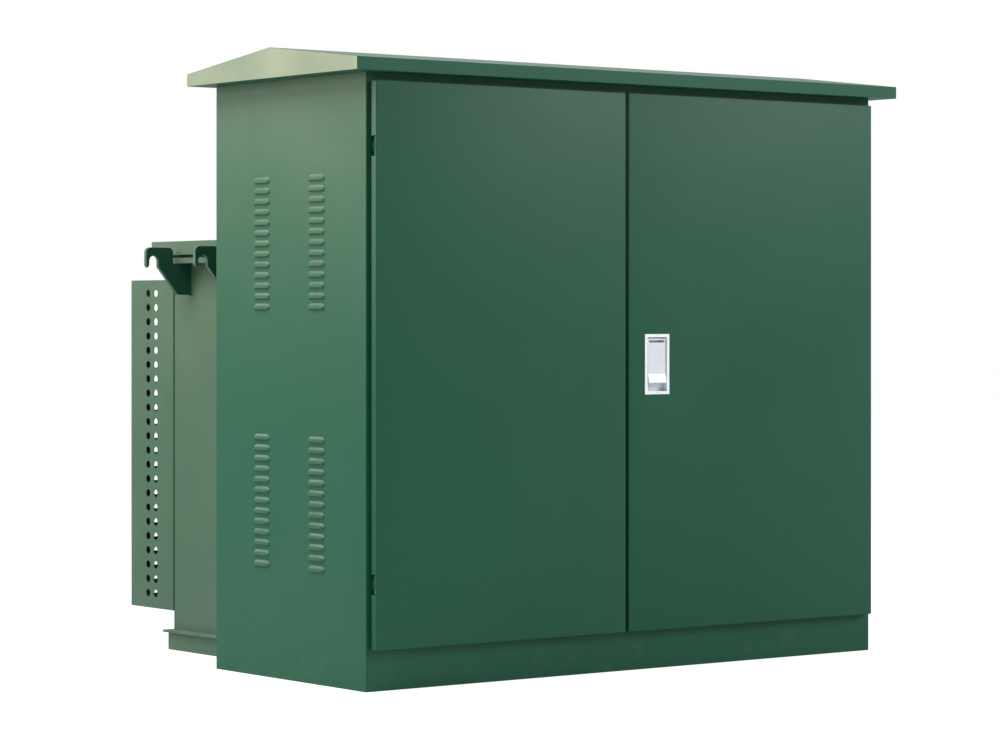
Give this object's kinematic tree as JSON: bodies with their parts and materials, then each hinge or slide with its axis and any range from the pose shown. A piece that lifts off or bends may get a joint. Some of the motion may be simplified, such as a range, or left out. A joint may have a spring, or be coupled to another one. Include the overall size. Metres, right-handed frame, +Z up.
{
  "type": "pad-mounted transformer",
  "caption": "Pad-mounted transformer: green gabled cabinet with double doors and a flush paddle lock, and an oil tank with hook lugs and guarded fins behind.",
  "frame": {"origin": "on the pad, under the middle of the unit's bounding box", "axes": "+X to the right along the cabinet's front, +Y from the doors back to the fin bank, +Z up"},
  "size_m": [2.248, 1.809, 1.9845],
  "materials": {
    "cabinet_paint": "satin dark green powder coat",
    "tank_paint": "satin green paint on welded plate",
    "lock_metal": "matt chromed zinc casting",
    "plated_steel": "zinc plated",
    "rubber": "matt nitrile",
    "bushing_resin": "cast resin",
    "black_moulding": "moulded",
    "tinned_copper": "tinned",
    "bare_copper": "drawn copper bar",
    "brass": "machined",
    "core_steel": "stacked silicon steel sheet",
    "winding_paper": "paper wrapped aluminium winding",
    "red_moulding": "moulded"
  },
  "bodies": {
    "enclosure_and_tank": {"left_side_panel": "cabinet_paint", "right_side_panel": "cabinet_paint", "front_sill": "cabinet_paint", "front_header": "cabinet_paint", "lower_keeper": "plated_steel", "upper_keeper": "plated_steel", "left_door_post": "cabinet_paint", "right_door_post": "cabinet_paint", "rear_panel": "cabinet_paint", "compartment_barrier": "plated_steel", "roof": "cabinet_paint", "left_lower_hinge_frame_leaf": "cabinet_paint", "left_upper_hinge_frame_leaf": "cabinet_paint", "right_lower_hinge_frame_leaf": "cabinet_paint", "right_upper_hinge_frame_leaf": "cabinet_paint", "tank_body": "tank_paint", "tank_cover": "tank_paint", "cover_gasket": "rubber", "lifting_lug_left_front": "tank_paint", "lifting_lug_left_rear": "tank_paint", "lifting_lug_right_front": "tank_paint", "lifting_lug_right_rear": "tank_paint", "base_rail_left": "tank_paint", "base_rail_right": "tank_paint", "radiator_fins": "tank_paint", "radiator_guard_left": "tank_paint", "radiator_guard_right": "tank_paint", "core": "core_steel", "winding_1": "winding_paper", "winding_2": "winding_paper", "winding_3": "winding_paper", "hv_bushing_1": "bushing_resin", "hv_bushing_2": "bushing_resin", "hv_bushing_3": "bushing_resin", "lv_bushing_1": "tinned_copper", "lv_bushing_2": "tinned_copper", "lv_bushing_3": "tinned_copper", "lv_bushing_4": "tinned_copper", "tank_gauges": "black_moulding", "pressure_relief_valve": "brass", "drain_valve_body": "brass", "ground_bar": "bare_copper"},
    "left_door": {"left_door": "cabinet_paint", "left_lower_hinge_door_leaf": "cabinet_paint", "left_upper_hinge_door_leaf": "cabinet_paint"},
    "right_door": {"right_door": "cabinet_paint", "right_lower_hinge_door_leaf": "cabinet_paint", "right_upper_hinge_door_leaf": "cabinet_paint", "handle_dish": "lock_metal"},
    "paddle": {"handle_paddle": "lock_metal"},
    "upper_rod": {"upper_latch_rod": "plated_steel"},
    "lower_rod": {"lower_latch_rod": "plated_steel"},
    "top_bolt": {"left_door_top_bolt": "plated_steel"},
    "bottom_bolt": {"left_door_bottom_bolt": "plated_steel"},
    "fuse_1": {"fuse_holder_1": "black_moulding"},
    "fuse_2": {"fuse_holder_2": "black_moulding"},
    "fuse_3": {"fuse_holder_3": "black_moulding"},
    "switch": {"switch_handle": "red_moulding"},
    "tap_changer": {"tap_changer_handle": "black_moulding"},
    "drain": {"drain_wheel": "red_moulding"}
  },
  "joints": [
    {"name": "left_door_hinge", "type": "hinge", "parent": "enclosure_and_tank", "child": "left_door", "pos_m": [-1.0245, -0.863, 0.9945], "axis": [0, 0, -1], "range_deg": [0, 120]},
    {"name": "right_door_hinge", "type": "hinge", "parent": "enclosure_and_tank", "child": "right_door", "pos_m": [1.0245, -0.863, 0.9945], "axis": [0, 0, 1], "range_deg": [0, 120]},
    {"name": "paddle_lift", "type": "hinge", "parent": "right_door", "child": "paddle", "pos_m": [0.0775, -0.8725, 1.068], "axis": [-1, 0, 0], "range_deg": [0, 40], "stiffness_Nm_per_rad": 1},
    {"name": "upper_rod_slide", "type": "slide", "parent": "right_door", "child": "upper_rod", "axis": [0, 0, -1], "range_m": [0, 0.018]},
    {"name": "lower_rod_slide", "type": "slide", "parent": "right_door", "child": "lower_rod", "axis": [0, 0, 1], "range_m": [0, 0.018]},
    {"name": "top_bolt_slide", "type": "slide", "parent": "left_door", "child": "top_bolt", "axis": [0, 0, 1], "range_m": [0, 0.02]},
    {"name": "bottom_bolt_slide", "type": "slide", "parent": "left_door", "child": "bottom_bolt", "axis": [0, 0, -1], "range_m": [0, 0.02]},
    {"name": "fuse_1_draw", "type": "slide", "parent": "enclosure_and_tank", "child": "fuse_1", "axis": [0, -1, 0], "range_m": [0, 0.25]},
    {"name": "fuse_2_draw", "type": "slide", "parent": "enclosure_and_tank", "child": "fuse_2", "axis": [0, -1, 0], "range_m": [0, 0.25]},
    {"name": "fuse_3_draw", "type": "slide", "parent": "enclosure_and_tank", "child": "fuse_3", "axis": [0, -1, 0], "range_m": [0, 0.25]},
    {"name": "switch_turn", "type": "hinge", "parent": "enclosure_and_tank", "child": "switch", "pos_m": [-0.21, -0.0305, 1.16], "axis": [0, -1, 0], "range_deg": [-90, 0]},
    {"name": "tap_changer_turn", "type": "hinge", "parent": "enclosure_and_tank", "child": "tap_changer", "pos_m": [-0.21, -0.0305, 0.92], "axis": [0, -1, 0], "range_deg": [-120, 0]},
    {"name": "drain_wheel_turn", "type": "hinge", "parent": "enclosure_and_tank", "child": "drain", "pos_m": [0.11, -0.0805, 0.299], "axis": [0, 0, 1], "range_deg": [0, 720]}
  ],
  "couplings": [
    {"joint": "upper_rod_slide", "follows": "paddle_lift", "m_per_rad": 0.0257},
    {"joint": "lower_rod_slide", "follows": "paddle_lift", "m_per_rad": 0.0257}
  ]
}
